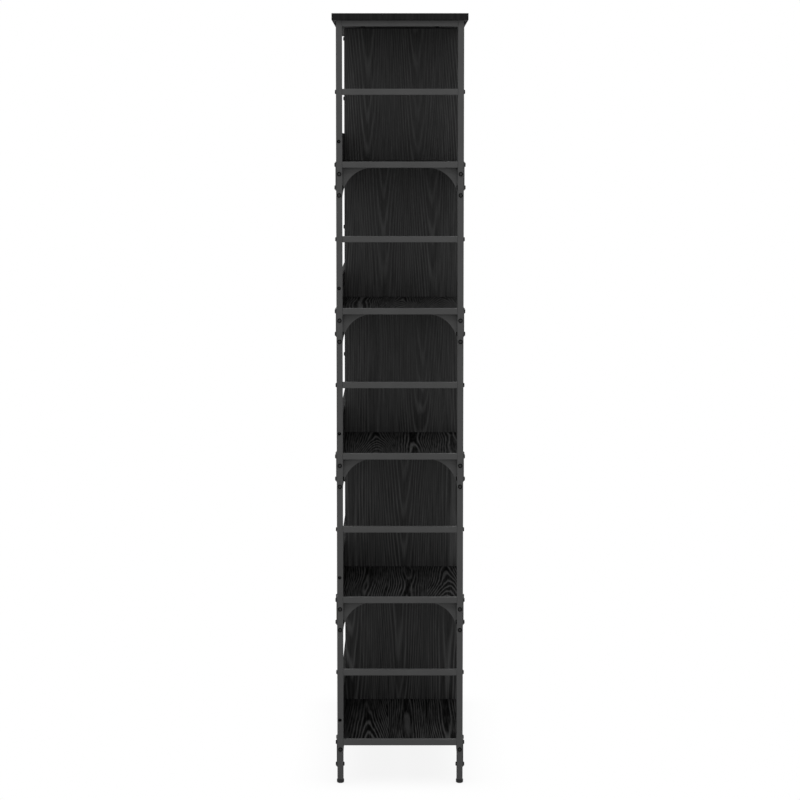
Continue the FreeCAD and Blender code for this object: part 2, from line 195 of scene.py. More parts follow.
# %% Lamps
def soft_lamp(name, place, size, power):
    """Hang a square soft lamp and point it at the middle of the bookcase."""
    data = bpy.data.lights.new(name, "AREA")
    data.shape = "SQUARE"
    data.size = size
    data.energy = power
    lamp = bpy.data.objects.new(name, data)
    lamp.location = place
    aim = (cad_low + cad_high) / 2
    lamp.rotation_euler = (aim - Vector(place)).to_track_quat("-Z", "Y").to_euler()
    scene.collection.objects.link(lamp)


soft_lamp("camera_lamp", (-7.5, 0.0, 1.9), 5.0, 100.0)
soft_lamp("high_lamp", (-3.4, 0.0, 5.4), 3.0, 120.0)
soft_lamp("front_lamp", (0.0, -4.5, 4.6), 3.0, 55.0)
soft_lamp("back_lamp", (0.0, 4.5, 4.6), 3.0, 55.0)
soft_lamp("far_lamp", (4.5, 0.0, 4.6), 3.0, 90.0)

# %% [markdown]
# ## Hands for modelling
# The next cells work as a modeller does at the screen: add a primitive, pick some edges or faces, and shape
# them. Loading left the measured nodes selected, so one helper first selects a single piece, and another
# picks edges or faces by where they are. A third puts the place of a shaped piece into its mesh.


# %% Picking helpers
def select_only(piece):
    """Leave edit mode, and make one piece the only selected and the active one."""
    if bpy.context.mode != "OBJECT":
        bpy.ops.object.mode_set(mode="OBJECT")
    bpy.ops.object.select_all(action="DESELECT")
    piece.select_set(True)
    bpy.context.view_layer.objects.active = piece


def pick(piece, kind, test):
    """Enter edit mode with only those edges or polygons selected whose corners pass a test."""
    bpy.ops.object.mode_set(mode="OBJECT")
    mesh = piece.data
    for group in (mesh.vertices, mesh.edges, mesh.polygons):
        group.foreach_set("select", [False] * len(group))
    for item in getattr(mesh, kind):
        item.select = test([mesh.vertices[i].co for i in item.vertices])
    bpy.context.tool_settings.mesh_select_mode = (False, kind == "edges", kind == "polygons")
    bpy.ops.object.mode_set(mode="EDIT")


def settle(piece, name):
    """Put a piece's origin at the world's origin, with no turn or scale left on it, and name it."""
    select_only(piece)
    bpy.ops.object.transform_apply(location=True, rotation=True, scale=True)
    piece.name = piece.data.name = name
    return piece


print("picking helpers ready")

# %% [markdown]
# Sheet pieces are cut with round tools, their edges are softened, and one finished piece is copied to all its
# places, each copy with a mesh of its own.

# %% Shaping and copying helpers
TOOL_LENGTH = 0.02
SHARP_ANGLE = math.radians(40)
SMOOTH_ANGLE = math.radians(35)


def combine(piece, tool, operation):
    """Cut a piece with a tool, or unite them, and delete the tool."""
    select_only(piece)
    bpy.ops.object.modifier_add(type="BOOLEAN")
    cut = piece.modifiers[-1]
    cut.operation, cut.object, cut.solver = operation, tool, "EXACT"
    bpy.ops.object.modifier_apply(modifier=cut.name)
    bpy.data.objects.remove(tool)


def rod(radius, centre, axis, sides):
    """Add a short cylinder along X or Y as a tool for cutting or uniting."""
    turn = (0.0, math.pi / 2, 0.0) if axis == "X" else (math.pi / 2, 0.0, 0.0)
    bpy.ops.mesh.primitive_cylinder_add(
        vertices=sides, radius=radius, depth=TOOL_LENGTH, location=centre, rotation=turn)
    return bpy.context.object


def slab(low, high):
    """Add a block between two corners as the start of a plate."""
    low, high = Vector(low), Vector(high)
    bpy.ops.object.select_all(action="DESELECT")
    bpy.ops.mesh.primitive_cube_add(size=1.0, location=(low + high) / 2, scale=high - low)
    return settle(bpy.context.object, "plate_blank")


def soften(piece, width):
    """Round every sharp edge of a plate a little, and shade the rounds smooth."""
    select_only(piece)
    bpy.ops.object.modifier_add(type="BEVEL")
    bevel = piece.modifiers[-1]
    bevel.width, bevel.segments = width, 2
    bevel.limit_method, bevel.angle_limit = "ANGLE", SHARP_ANGLE
    bpy.ops.object.modifier_apply(modifier=bevel.name)
    bpy.ops.object.shade_smooth_by_angle(angle=SMOOTH_ANGLE)


def twin(piece, flip, move):
    """Copy a piece with its own mesh, flip it about the bookcase's middle planes and move it."""
    select_only(piece)
    bpy.ops.object.duplicate(linked=False)
    copy = bpy.context.object
    bpy.ops.object.mode_set(mode="EDIT")
    bpy.ops.mesh.select_all(action="SELECT")
    bpy.ops.transform.resize(value=flip, center_override=(0.0, 0.0, 0.0))
    bpy.ops.transform.translate(value=move)
    bpy.ops.mesh.normals_make_consistent(inside=False)
    bpy.ops.object.mode_set(mode="OBJECT")
    return copy


def gather(pieces, name):
    """Join copies into one piece."""
    select_only(pieces[0])
    for piece in pieces:
        piece.select_set(True)
    bpy.ops.object.join()
    return settle(bpy.context.object, name)


print("shaping helpers ready")

# %% [markdown]
# ## Levelling feet
# Each leg stands on a round nylon foot with a threaded stud, which screws up into the leg. It is turned by
# hand, so its rim has shallow grip flutes. The foot could be one turned profile, but flutes and a thread
# are not round, so it starts as a cylinder: its lower rim is rounded with a wide bevel, every third side
# face is sunk, and the stud is drawn up out of the top face.

# %% Foot disc and stud
foot_low, foot_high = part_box("front_left_foot")
FOOT_RADIUS = (foot_high.x - foot_low.x) / 2
DISC_HEIGHT = 0.0095
FOOT_ROUND = 0.0035
RIM_EDGE = 0.0006
FLUTE_DEPTH = 0.0004
FLUTE_RIM = 0.0002
FLUTE_EVERY = 3
THREAD_ROOT = 0.0035
STUD_TIP = 0.001
TIP_SHARE = 0.72
SIDES = 48
NEAR = 0.00001

bpy.ops.object.select_all(action="DESELECT")
bpy.ops.mesh.primitive_cylinder_add(
    vertices=SIDES, radius=FOOT_RADIUS, depth=DISC_HEIGHT, location=(0.0, 0.0, DISC_HEIGHT / 2))
foot = settle(bpy.context.object, "levelling_foot")
pick(foot, "edges", lambda ends: all(v.z < NEAR for v in ends))
bpy.ops.mesh.bevel(offset=FOOT_ROUND, segments=6, affect="EDGES")
pick(foot, "edges", lambda ends: all(v.z > DISC_HEIGHT - NEAR for v in ends))
bpy.ops.mesh.bevel(offset=RIM_EDGE, segments=2, affect="EDGES")


def is_flute(corners):
    """True for every third tall face of the rim."""
    middle = sum(corners, Vector()) / len(corners)
    tall = max(v.z for v in corners) - min(v.z for v in corners) > DISC_HEIGHT / 3
    step = round(math.degrees(math.atan2(middle.y, middle.x)) * SIDES / 360 - 0.5)
    return tall and step % FLUTE_EVERY == 0


pick(foot, "polygons", is_flute)
bpy.ops.mesh.inset(thickness=FLUTE_RIM, depth=-FLUTE_DEPTH, use_individual=True)
pick(foot, "polygons", lambda corners: all(v.z > DISC_HEIGHT - NEAR for v in corners))
bpy.ops.mesh.inset(thickness=FOOT_RADIUS - RIM_EDGE - THREAD_ROOT, depth=0.0)
stud_straight = foot_high.z - DISC_HEIGHT - STUD_TIP
bpy.ops.mesh.extrude_region_move(TRANSFORM_OT_translate={"value": (0.0, 0.0, stud_straight)})
bpy.ops.mesh.extrude_region_move(TRANSFORM_OT_translate={"value": (0.0, 0.0, STUD_TIP)})
bpy.ops.transform.resize(value=(TIP_SHARE, TIP_SHARE, 1.0), center_override=(0.0, 0.0, foot_high.z))
settle(foot, "levelling_foot")
print("foot faces", len(foot.data.polygons))

# %% [markdown]
# The thread is a ridge that winds up the stud. A three-sided ring stands for the ridge's section, and a
# Screw modifier winds it up one pitch per turn. Its two open ends are then filled, so the ridge is closed.

# %% Thread on the stud
THREAD_CREST = 0.0040
THREAD_PITCH = 0.00125
RIDGE = 0.0004
STEPS_PER_TURN = 24
thread_turns = int(stud_straight / THREAD_PITCH) - 1
bpy.ops.object.select_all(action="DESELECT")
bpy.ops.mesh.primitive_circle_add(
    vertices=3, radius=RIDGE, fill_type="NOTHING", rotation=(math.pi / 2, math.pi / 2, 0.0),
    location=(THREAD_CREST - RIDGE, 0.0, DISC_HEIGHT + THREAD_PITCH / 2))
thread = settle(bpy.context.object, "thread")
bpy.ops.object.modifier_add(type="SCREW")
winding = thread.modifiers[-1]
winding.screw_offset, winding.iterations = THREAD_PITCH, thread_turns
winding.steps = winding.render_steps = STEPS_PER_TURN
bpy.ops.object.modifier_apply(modifier=winding.name)
bpy.ops.object.mode_set(mode="EDIT")
bpy.ops.mesh.select_all(action="SELECT")
bpy.ops.mesh.remove_doubles(threshold=NEAR)
bpy.ops.mesh.fill_holes(sides=3)
bpy.ops.mesh.normals_make_consistent(inside=False)
foot = gather([foot, thread], "levelling_foot")
bpy.ops.object.shade_smooth_by_angle(angle=SMOOTH_ANGLE)
print("thread turns", thread_turns, "foot top", round(max(v.co.z for v in foot.data.vertices), 4))

# %% [markdown]
# All four feet are the same, so the finished one is copied under each leg. Each copy rides on the body that
# slides in and out of its leg.

# %% Four feet
feet = []
for corner in ("front_left", "front_right", "back_left", "back_right"):
    low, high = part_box(corner + "_foot")
    middle = (low + high) / 2
    piece = settle(twin(foot, (1, 1, 1), (middle.x, middle.y, 0.0)), corner + "_levelling_foot")
    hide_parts(corner + "_foot")
    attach(piece, corner + "_foot")
    feet.append(piece)
bpy.data.objects.remove(foot)
print("feet", [piece.name for piece in feet])

# %% [markdown]
# ## Corner plates
# Thin steel plates lie on the front and back faces of the posts at every shelf. Each has two legs with round
# ends and a sweep between them, punched for two bolts and a screw. A plate could be traced as a curve and
# thickened. Here it is cut from a block with round tools, as a press does it, and its rim is then softened.

# %% One corner plate
plate_low, plate_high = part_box("front_corner_plates")
PLATE_REACH = 0.070
LEG = 0.015
SWEEP = PLATE_REACH - LEG / 2
PLATE_CORNER = 0.0015
BOLT_HOLE = 0.0032
SCREW_HOLE = 0.0022
COATED_EDGE = 0.0004
plate_y = (plate_low.y + plate_high.y) / 2
plate_top = plate_low.z + PLATE_REACH

plate = slab(
    (plate_low.x, plate_low.y, plate_top - SWEEP), (plate_low.x + SWEEP, plate_high.y, plate_top))
pick(plate, "edges", lambda ends: all(v.x < plate_low.x + NEAR and v.z > plate_top - NEAR for v in ends))
bpy.ops.mesh.bevel(offset=PLATE_CORNER, segments=4, affect="EDGES")
bpy.ops.object.mode_set(mode="OBJECT")
for inward, down, radius, sides, operation in (
    (SWEEP, SWEEP, SWEEP - LEG, 96, "DIFFERENCE"),
    (SWEEP, LEG / 2, LEG / 2, 32, "UNION"),
    (LEG / 2, SWEEP, LEG / 2, 32, "UNION"),
    (LEG / 2, LEG / 2, BOLT_HOLE, 24, "DIFFERENCE"),
    (LEG / 2, SWEEP, BOLT_HOLE, 24, "DIFFERENCE"),
    (SWEEP, LEG / 2, SCREW_HOLE, 24, "DIFFERENCE"),
):
    tool = rod(radius, (plate_low.x + inward, plate_y, plate_top - down), "Y", sides)
    if operation == "UNION":
        tool.dimensions.z = plate_high.y - plate_low.y
        settle(tool, "round_end")
    combine(plate, tool, operation)
soften(plate, COATED_EDGE)
print("plate faces", len(plate.data.polygons), "size", [round(v, 4) for v in plate.dimensions])

# %% [markdown]
# One plate serves for all: it is flipped about the middle planes for the other corners and moved up tier by
# tier.

# %% Twenty corner plates
TIERS = 5
tier_pitch = (plate_high.z - plate_top) / (TIERS - 1)
for side, across in (("front", 1), ("back", -1)):
    copies = []
    for along in (1, -1):
        for tier in range(TIERS):
            copies.append(twin(plate, (along, across, 1), (0.0, 0.0, tier * tier_pitch)))
    piece = gather(copies, side + "_edged_corner_plates")
    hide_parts(side + "_corner_plates")
    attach(piece, "frame")
    print(piece.name, "faces", len(piece.data.polygons))
bpy.data.objects.remove(plate)

# %% [markdown]
# ## Gussets
# Under each of the four upper shelves, a sheet gusset stands in every corner of the end frames. Its lower
# inside edge is a quarter round, which gives the tiers their arched look. It is made like the corner
# plates: a block, one large round cut, two holes and a soft rim.

# %% One gusset
gusset_low, gusset_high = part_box("left_gussets")
GUSSET_ARC = 0.074
SLEEVE_HOLE = 0.0042
gusset_x = (gusset_low.x + gusset_high.x) / 2
arc_y = gusset_low.y + LEG + GUSSET_ARC
hole_y = gusset_low.y + LEG / 2
gusset = slab(gusset_low, (gusset_high.x, arc_y, gusset_low.z + GUSSET_ARC))
for y, up, radius, sides in (
    (arc_y, 0.0, GUSSET_ARC, 128),
    (hole_y, GUSSET_ARC - LEG, BOLT_HOLE, 24),
    (hole_y, LEG / 2, SLEEVE_HOLE, 24),
):
    combine(gusset, rod(radius, (gusset_x, y, gusset_low.z + up), "X", sides), "DIFFERENCE")
soften(gusset, COATED_EDGE)
print("gusset faces", len(gusset.data.polygons), "size", [round(v, 4) for v in gusset.dimensions])

# %% [markdown]
# The gussets are copied in the same way, to four corners and four tiers.

# %% Sixteen gussets
for end, along in (("left", 1), ("right", -1)):
    copies = []
    for across in (1, -1):
        for tier in range(TIERS - 1):
            copies.append(twin(gusset, (along, across, 1), (0.0, 0.0, tier * tier_pitch)))
    piece = gather(copies, end + "_edged_gussets")
    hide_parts(end + "_gussets")
    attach(piece, "frame")
    print(piece.name, "faces", len(piece.data.polygons))
bpy.data.objects.remove(gusset)

# %% [markdown]
# ## Black oak boards
# The boards are engineered board faced with plain-sawn oak, stained black and sealed. A trunk is a stack of
# thin cones round its heart, and a flat cut beside the heart shows them as nested arches with straighter
# lines on both sides. Stripes from a wave texture could stand for grain, but arches come by themselves when
# the ring at a point is worked out as in a log: from its distance to the heart, which changes across the
# board, and from the taper of the trunk, which changes it slowly along the board. To begin with, each board
# is measured from the foot of its own tier, and each tier gets a log of its own, so no two boards are alike.

# %% A log for each board
BELOW_SHELF = 0.0005
LOG_STEP = 3.7
first_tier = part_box("shelf_1")[0].z - BELOW_SHELF


def board_place(tree, first_log):
    """Measure a point from the foot of its tier, and give the number of the tier's log and a seed for it."""
    where = add(tree, "TexCoord", out="Object")
    height = add(tree, "SeparateXYZ", inputs={0: where}, out="Z")
    tier = add(tree, "Math", {"operation": "MULTIPLY_ADD"}, {
        0: height, 1: 1.0 / tier_pitch, 2: -first_tier / tier_pitch})
    tier = add(tree, "Math", {"operation": "FLOOR"}, {0: tier})
    foot_height = add(tree, "Math", {"operation": "MULTIPLY_ADD"}, {0: tier, 1: tier_pitch, 2: first_tier})
    tier_foot = add(tree, "CombineXYZ", inputs={"Z": foot_height})
    place = add(tree, "VectorMath", {"operation": "SUBTRACT"}, {0: where, 1: tier_foot})
    log = add(tree, "Math", {"operation": "ADD"}, {0: tier, 1: float(first_log)})
    return place, log, add(tree, "Math", {"operation": "MULTIPLY"}, {0: log, 1: LOG_STEP})


def on_grain(tree, place, axes, width, length):
    """Count widths across the grain and lengths along it, and nothing through the board."""
    across, face, along = axes
    per_metre = {across: 1.0 / width, face: 0.0, along: 1.0 / length}
    return add(tree, "Mapping", inputs={"Vector": place, "Scale": [per_metre[axis] for axis in "XYZ"]})


print("tiers every", round(tier_pitch, 4), "m, each with its own log")

# %% [markdown]
# A board's face is joined from a few leaves, and each leaf has the heart of its log somewhere below it. The
# number of the ring at a point is its distance to the nearest heart, counted in ring widths. Leaves from a
# tapered stretch of the trunk add the taper and show arches. The others show long bands and eyes. The hearts
# wander a little to the sides, and burls and ripples bend the rings.

# %% Rings of the log
HEART_WANDER = 0.025
WANDER_PATCH = (0.50, 0.75)
BURL_WIDTH = 0.075
RIPPLE_WIDTH = 0.022
RIPPLE_RINGS = 1.7
BEND_LENGTH = 4.0
MIDDLE_LEAF = 10


def log_rings(tree, place, log, seed, cut):
    """Number the rings at each point of a board, and give the point's distance to the heart as well."""
    axes, depth, half_leaf = cut["axes"], cut["depth"], cut["half_leaf"]
    across, _, along = axes
    bend_length = BEND_LENGTH * abs(cut["arch"])

    # The heart of the middle leaf lies anywhere within it.
    heart = add(tree, "TexWhiteNoise", {"noise_dimensions": "1D"}, {"W": log})
    heart = add(tree, "MapRange", inputs={"Value": heart, "To Min": -half_leaf, "To Max": half_leaf})
    wander = add(tree, "TexNoise", {"noise_dimensions": "4D"}, {
        "Vector": on_grain(tree, place, axes, *WANDER_PATCH), "W": seed, "Scale": 1.0, "Detail": 1.0})
    wander = add(tree, "MapRange", inputs={"Value": wander, "To Min": -HEART_WANDER, "To Max": HEART_WANDER})
    heart = add(tree, "Math", {"operation": "ADD"}, {0: heart, 1: wander})

    # One measure counts metres across the grain, and arches along it.
    measure = on_grain(tree, place, axes, 1.0, cut["arch"])
    measure = add(tree, "SeparateXYZ", inputs={0: measure}).node.outputs
    side = add(tree, "Math", {"operation": "SUBTRACT"}, {0: measure[across], 1: heart})

    # Chance decides which leaves are tapered. The middle leaf is number MIDDLE_LEAF, so none is below zero.
    leaf = add(tree, "Math", {"operation": "MULTIPLY_ADD"}, {
        0: side, 1: 0.5 / half_leaf, 2: MIDDLE_LEAF + 0.5})
    leaf = add(tree, "Math", {"operation": "FLOOR"}, {0: leaf})
    chance = add(tree, "TexWhiteNoise", {"noise_dimensions": "2D"}, {
        "Vector": add(tree, "CombineXYZ", inputs={"X": log, "Y": leaf})})
    tapered = add(tree, "Math", {"operation": "LESS_THAN"}, {0: chance, 1: cut["tapered"]})
    taper = add(tree, "Math", {"operation": "MULTIPLY"}, {0: measure[along], 1: tapered})

    # Ping-pong gives the way to the nearest heart, and with the heart's depth that gives the distance.
    side = add(tree, "Math", {"operation": "PINGPONG"}, {0: side, 1: half_leaf})
    square = add(tree, "Math", {"operation": "MULTIPLY_ADD"}, {0: side, 1: side, 2: depth * depth})
    distance = add(tree, "Math", {"operation": "SQRT"}, {0: square})
    rings = add(tree, "Math", {"operation": "MULTIPLY_ADD"}, {0: distance, 1: 1.0 / cut["ring"], 2: taper})

    burl = add(tree, "TexNoise", {"noise_dimensions": "4D"}, {
        "Vector": on_grain(tree, place, axes, BURL_WIDTH, bend_length),
        "W": seed, "Scale": 1.0, "Detail": 0.0})
    rings = add(tree, "Math", {"operation": "MULTIPLY_ADD"}, {0: burl, 1: cut["swirl"], 2: rings})
    ripple = add(tree, "TexNoise", {"noise_dimensions": "4D"}, {
        "Vector": on_grain(tree, place, axes, RIPPLE_WIDTH, bend_length),
        "W": seed, "Scale": 1.0, "Detail": 2.0})
    rings = add(tree, "Math", {"operation": "MULTIPLY_ADD"}, {0: ripple, 1: RIPPLE_RINGS, 2: rings})
    return rings, distance


print("a burl is", BURL_WIDTH, "m wide and a ripple", RIPPLE_WIDTH, "m")

# %% [markdown]
# Within a ring the early wood stays dark and the late wood shows as a pale line. Stain sinks in unevenly, so
# it hides the rings in some stretches, and more so beside the hearts, where the rings stand steeper. Fibres
# run through everything. Real pores are about 0.3 mm wide, and they are drawn ten times coarser so that they
# show. The band on the edges is cut along the grain and shows only fibres.

# %% Figure of the oak
FIBRE_SIZE = (0.0032, 0.090)
FIBRE_RANGE = (0.3, 0.7)
FIBRE_STREAK = 0.26
STAIN_PATCH = (0.07, 0.40)
STAIN_RANGE = (0.36, 0.58)
STAINED_OVER = 0.3
BESIDE_HEART = 0.05
EDGE_COSINE = 0.5
EDGE_TONE = 0.5
LATE_WOOD = ((0.0, 0.0), (0.44, 0.05), (0.67, 1.0), (0.82, 0.75), (1.0, 0.0))


def oak_figure(tree, cut, clear, beside, plain):
    """Draw the wood from 0 for its darkest to 1 for its palest parts.

    clear is how clearly the rings show near a heart, beside is the share of that which is left beside it,
    and plain is the tone where the stain hides the rings.
    """
    axes, depth = cut["axes"], cut["depth"]
    place, log, seed = board_place(tree, cut["log"])
    rings, distance = log_rings(tree, place, log, seed, cut)
    line = add(tree, "ValToRGB", inputs={"Fac": add(tree, "Math", {"operation": "FRACT"}, {0: rings})})
    stops = line.node.color_ramp.elements
    while len(stops) < len(LATE_WOOD):
        stops.new(0.5)
    for stop, (position, value) in zip(stops, LATE_WOOD):
        stop.position = position
        stop.color = (value, value, value, 1.0)

    stain = add(tree, "TexNoise", {"noise_dimensions": "4D"}, {
        "Vector": on_grain(tree, place, axes, *STAIN_PATCH), "W": seed, "Scale": 1.0, "Detail": 1.0})
    shown = add(tree, "MapRange", inputs={
        "Value": stain, "From Min": STAIN_RANGE[0], "From Max": STAIN_RANGE[1],
        "To Min": STAINED_OVER * clear, "To Max": clear})
    near = add(tree, "MapRange", inputs={
        "Value": distance, "From Min": depth, "From Max": depth + BESIDE_HEART,
        "To Min": 1.0, "To Max": beside})
    shown = add(tree, "Math", {"operation": "MULTIPLY"}, {0: shown, 1: near})
    figure = add(tree, "Mix", {"data_type": "FLOAT"}, {"Factor": shown, "A": plain, "B": line}, "Result")

    fibre = add(tree, "TexNoise", {"noise_dimensions": "4D"}, {
        "Vector": on_grain(tree, place, axes, *FIBRE_SIZE), "W": seed, "Scale": 1.0, "Detail": 2.0})
    streak = add(tree, "MapRange", inputs={
        "Value": fibre, "From Min": FIBRE_RANGE[0], "From Max": FIBRE_RANGE[1],
        "To Min": -FIBRE_STREAK, "To Max": FIBRE_STREAK})
    figure = add(tree, "Math", {"operation": "ADD", "use_clamp": True}, {0: figure, 1: streak})

    # A surface that turns away from the axis of the face is the edge band.
    out_of_face = [float(axis == axes[1]) for axis in "XYZ"]
    facing = add(tree, "VectorMath", {"operation": "DOT_PRODUCT"}, {
        0: add(tree, "NewGeometry", out="Normal"), 1: out_of_face}, "Value")
    facing = add(tree, "Math", {"operation": "ABSOLUTE"}, {0: facing})
    edge = add(tree, "Math", {"operation": "LESS_THAN"}, {0: facing, 1: EDGE_COSINE})
    # EDGE_TONE keeps the edge band darker than the face. Part of this is the real dark edge, and part is
    # painted shade that offsets the sheen of the lamps on the edges.
    band = add(tree, "Math", {"operation": "MULTIPLY"}, {0: fibre, 1: EDGE_TONE})
    return add(tree, "Mix", {"data_type": "FLOAT"}, {"Factor": edge, "A": figure, "B": band}, "Result")


print("fibres are", FIBRE_SIZE[0], "m wide and", FIBRE_SIZE[1], "m long")

# %% [markdown]
# A cut names the axes across the grain, out of the face and along the grain, and the first log. It gives half
# the width of a leaf, the share of leaves that are tapered, the depth of the heart below the face, the width
# of a ring, how far apart the arches follow each other, and by how many rings a burl bends them. A ring is 5
# to 7 mm wide on these faces. The seal is satin on the uprights. It is nearly matt on the lying boards, which
# would otherwise shine white at the low angle of this picture.

# %% Oak for uprights, shelves, top board and back stops
UPRIGHT_CUT = {
    "axes": "YXZ", "log": 37522, "half_leaf": 0.065, "tapered": 0.6, "depth": 0.030, "ring": 0.0050,
    "arch": -0.10, "swirl": 3.0}
LYING_CUT = {
    "axes": "YZX", "log": 535, "half_leaf": 0.050, "tapered": 0.35, "depth": 0.020, "ring": 0.0048,
    "arch": 0.10, "swirl": 4.0}
BACK_STOP_CUT = {
    "axes": "ZYX", "log": 300, "half_leaf": 0.060, "tapered": 0.5, "depth": 0.022, "ring": 0.0070,
    "arch": 0.12, "swirl": 5.0}
GRAIN_RELIEF = 0.0003
DULLER_LATE_WOOD = 0.1


def black_oak(name, figure_of, tones, gloss, matt):
    """Make black oak from a figure, its darkest and palest tone, and the gloss and roughness of the seal."""
    material, tree = new_material(name)
    figure = oak_figure(tree, **figure_of)
    colour = add(tree, "Mix", {"data_type": "RGBA"}, {
        "Factor": figure, "A": linear(tones[0]), "B": linear(tones[1])}, "Result")
    rough = add(tree, "MapRange", inputs={"Value": figure, "To Min": matt, "To Max": matt + DULLER_LATE_WOOD})
    bump = add(tree, "Bump", inputs={"Strength": 0.15, "Distance": GRAIN_RELIEF, "Height": figure})
    add(tree, "OutputMaterial", inputs={"Surface": add(tree, "BsdfPrincipled", inputs={
        "Base Color": colour, "Roughness": rough, "Normal": bump, "IOR": 1.45, "Specular IOR Level": gloss})})
    return material


# The uprights' figure has less contrast and paler plain stretches, and their tones are paler than the lying
# boards'. This is painted light for the veil of reflection on them and for the shade they stand in inside the
# case. The shelves' and top board's tones are painted darker as painted shade. The top board's palest tone is
# the darkest, to offset its sheen.
upright_figure = {"cut": UPRIGHT_CUT, "clear": 0.8, "beside": 0.4, "plain": 0.32}
lying_figure = {"cut": LYING_CUT, "clear": 1.0, "beside": 0.55, "plain": 0.24}
back_stop_figure = {"cut": BACK_STOP_CUT, "clear": 0.9, "beside": 0.85, "plain": 0.32}
oak_upright = black_oak(
    "satin_black_stained_oak", upright_figure, ("#131313", "#454545"), gloss=0.13, matt=0.36)
oak_shelf = black_oak(
    "matt_black_stained_oak", lying_figure, ("#040404", "#3e3e3e"), gloss=0.008, matt=0.8)
oak_top = black_oak(
    "soft_black_stained_oak", lying_figure, ("#040404", "#383838"), gloss=0.05, matt=0.7)
oak_back_stop = black_oak(
    "flat_black_stained_oak", back_stop_figure, ("#080808", "#383838"), gloss=0.03, matt=0.7)
print("oak finishes", [m.name for m in bpy.data.materials if "oak" in m.name])

# %% [markdown]
# ## Black powder coat
# The tubes and plates are sprayed with powder, which melts in an oven. That gives an even satin black with a
# fine orange peel and a slight change of tone from place to place. Real peel is about 1 mm wide. It is drawn
# at 3 mm, as bump and as a change of gloss, so that it still shows from this far.

# %% Powder coat finish
PEEL_SIZE = 0.003
TONE_PATCH = 0.07
powder_coat, tree = new_material("satin_black_powder_coat")
where = add(tree, "TexCoord", out="Object")
peel = add(tree, "TexNoise", inputs={"Vector": where, "Scale": 1.0 / PEEL_SIZE, "Detail": 2.0})
cloud = add(tree, "TexNoise", inputs={"Vector": where, "Scale": 1.0 / TONE_PATCH, "Detail": 3.0})
tone = add(tree, "Mix", {"data_type": "RGBA"}, {
    "Factor": cloud, "A": linear("#3e3e3e"), "B": linear("#484848")}, "Result")
rough = add(tree, "MapRange", inputs={"Value": peel, "To Min": 0.46, "To Max": 0.62})
bump = add(tree, "Bump", inputs={"Strength": 0.2, "Distance": 0.0004, "Height": peel})
add(tree, "OutputMaterial", inputs={"Surface": add(tree, "BsdfPrincipled", inputs={
    "Base Color": tone, "Roughness": rough, "Normal": bump, "IOR": 1.5, "Specular IOR Level": 0.12})})
print("powder coat made")

# %% [markdown]
# ## Steel hardware
# Bolts, nuts and screws are steel blackened in a hot oxide bath. Their heads read as dark rings with a paler
# middle: the round rim gets darker tones and a black edge tint as painted shade, and the flat stays paler.
# The plugs and bars inside the tubes are zinc plated: pale grey, with the faint cloudy patches of the plating
# bath.
# Both have fine tumbling marks in their gloss. Real marks are about 0.1 mm wide, and they are drawn six times
# coarser so that they show in a close view.

# %% Metal finishes
MARK_SIZE = 0.0006
FLAT_COSINE = 0.998


def plated_steel(name, rounds, flats, rim, patch_size, smooth, dull):
    """Make a metal with two-tone patches on its rounds and its flats, and fine marks in its gloss. Rounds
    given darker tones than flats carry painted shade.
    """
    material, tree = new_material(name)
    where = add(tree, "TexCoord", out="Object")
    patch = add(tree, "TexNoise", inputs={"Vector": where, "Scale": 1.0 / patch_size, "Detail": 3.0})
    marks = add(tree, "TexNoise", inputs={"Vector": where, "Scale": 1.0 / MARK_SIZE, "Detail": 2.0})

    # Every flat lies square to an axis, so one part of its normal is nearly 1.
    normal = add(tree, "VectorMath", {"operation": "ABSOLUTE"}, {0: add(tree, "NewGeometry", out="Normal")})
    parts = add(tree, "SeparateXYZ", inputs={0: normal}).node.outputs
    most = add(tree, "Math", {"operation": "MAXIMUM"}, {0: parts["X"], 1: parts["Y"]})
    most = add(tree, "Math", {"operation": "MAXIMUM"}, {0: most, 1: parts["Z"]})
    flat = add(tree, "Math", {"operation": "GREATER_THAN"}, {0: most, 1: FLAT_COSINE})
    # Rounds take their own tones. On black oxide they are darker than the flats, as painted shade on the
    # rims.
    dark = add(tree, "Mix", {"data_type": "RGBA"}, {
        "Factor": flat, "A": linear(rounds[0]), "B": linear(flats[0])}, "Result")
    pale = add(tree, "Mix", {"data_type": "RGBA"}, {
        "Factor": flat, "A": linear(rounds[1]), "B": linear(flats[1])}, "Result")
    tone = add(tree, "Mix", {"data_type": "RGBA"}, {"Factor": patch, "A": dark, "B": pale}, "Result")
    rough = add(tree, "MapRange", inputs={"Value": marks, "To Min": smooth, "To Max": dull})
    bump = add(tree, "Bump", inputs={"Strength": 0.1, "Distance": 0.0001, "Height": marks})
    add(tree, "OutputMaterial", inputs={"Surface": add(tree, "BsdfPrincipled", inputs={
        "Base Color": tone, "Metallic": 1.0, "Specular Tint": linear(rim),
        "Roughness": rough, "Normal": bump})})
    return material


# Black oxide: the dark rounds and the black rim tint are painted shade on the rounded rims of the heads.
black_oxide = plated_steel(
    "black_oxide_steel", rounds=("#050505", "#0c0c0c"), flats=("#242424", "#2a2a2a"), rim="#000000",
    patch_size=0.006, smooth=0.34, dull=0.46)
zinc_plate = plated_steel(
    "zinc_plated_steel", rounds=("#9a9ea2", "#b4b8bb"), flats=("#9a9ea2", "#b4b8bb"), rim="#ffffff",
    patch_size=0.008, smooth=0.30, dull=0.48)
print("metals made")

# %% [markdown]
# ## Nylon
# Feet and leg inserts are moulded nylon. The mould gives them a fine matt grain, and the flow of the melt a
# slow change of tone. Mould grain is about 0.2 mm wide, and it is drawn four times coarser so that it shows.

